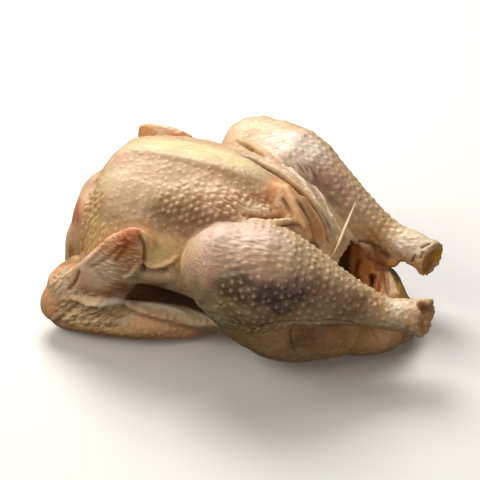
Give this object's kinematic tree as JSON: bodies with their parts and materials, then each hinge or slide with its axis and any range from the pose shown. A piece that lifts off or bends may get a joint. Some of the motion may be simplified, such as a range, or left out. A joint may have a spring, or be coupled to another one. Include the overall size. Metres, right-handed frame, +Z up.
{
  "type": "whole raw chicken",
  "caption": "Whole plucked raw chicken lying on its back, with folded wings, cut drumstick ends and an open body cavity.",
  "frame": {"origin": "bottom centre of the bounding box, on the surface that the bird rests on", "axes": "+X from the neck to the tail, +Y to the bird's left side, +Z up"},
  "size_m": [0.228, 0.1646, 0.1058],
  "materials": {
    "skin": "moist satin"
  },
  "bodies": {
    "root": {"chicken": "skin"}
  },
  "joints": []
}
